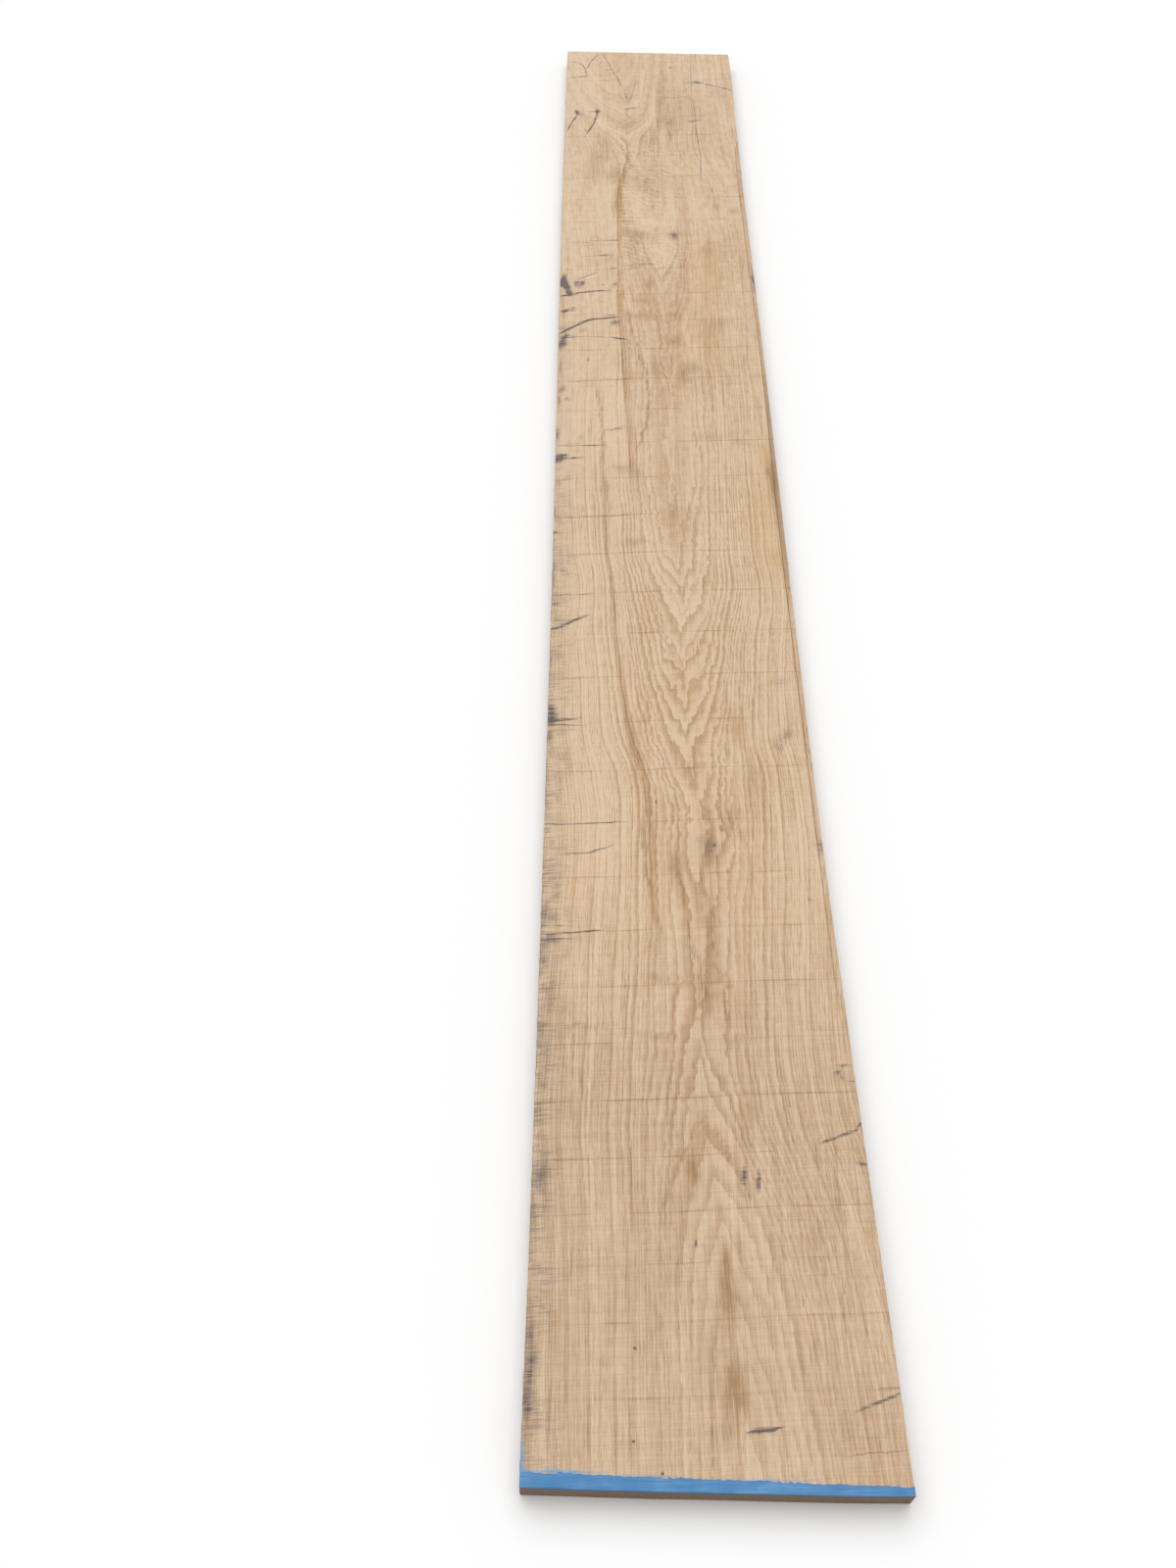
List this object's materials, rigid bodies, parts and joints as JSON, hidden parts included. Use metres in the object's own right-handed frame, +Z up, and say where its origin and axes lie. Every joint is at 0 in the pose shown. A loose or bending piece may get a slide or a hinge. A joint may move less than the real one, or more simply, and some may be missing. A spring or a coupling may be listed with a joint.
{
  "type": "rough sawn oak board",
  "caption": "Long flat rough sawn oak board with wandering sawn edges, a strip of wane and ends cut a little out of square, for planing or cladding.",
  "frame": {"origin": "on the floor under the middle of the board's bounding box", "axes": "+Y along the length towards the bare end, +X across the width, +Z up through the thickness"},
  "size_m": [0.3027, 2.446, 0.0254],
  "materials": {
    "oak": "rough sawn, unfinished"
  },
  "bodies": {
    "root": {"oak_board": "oak"}
  },
  "joints": []
}
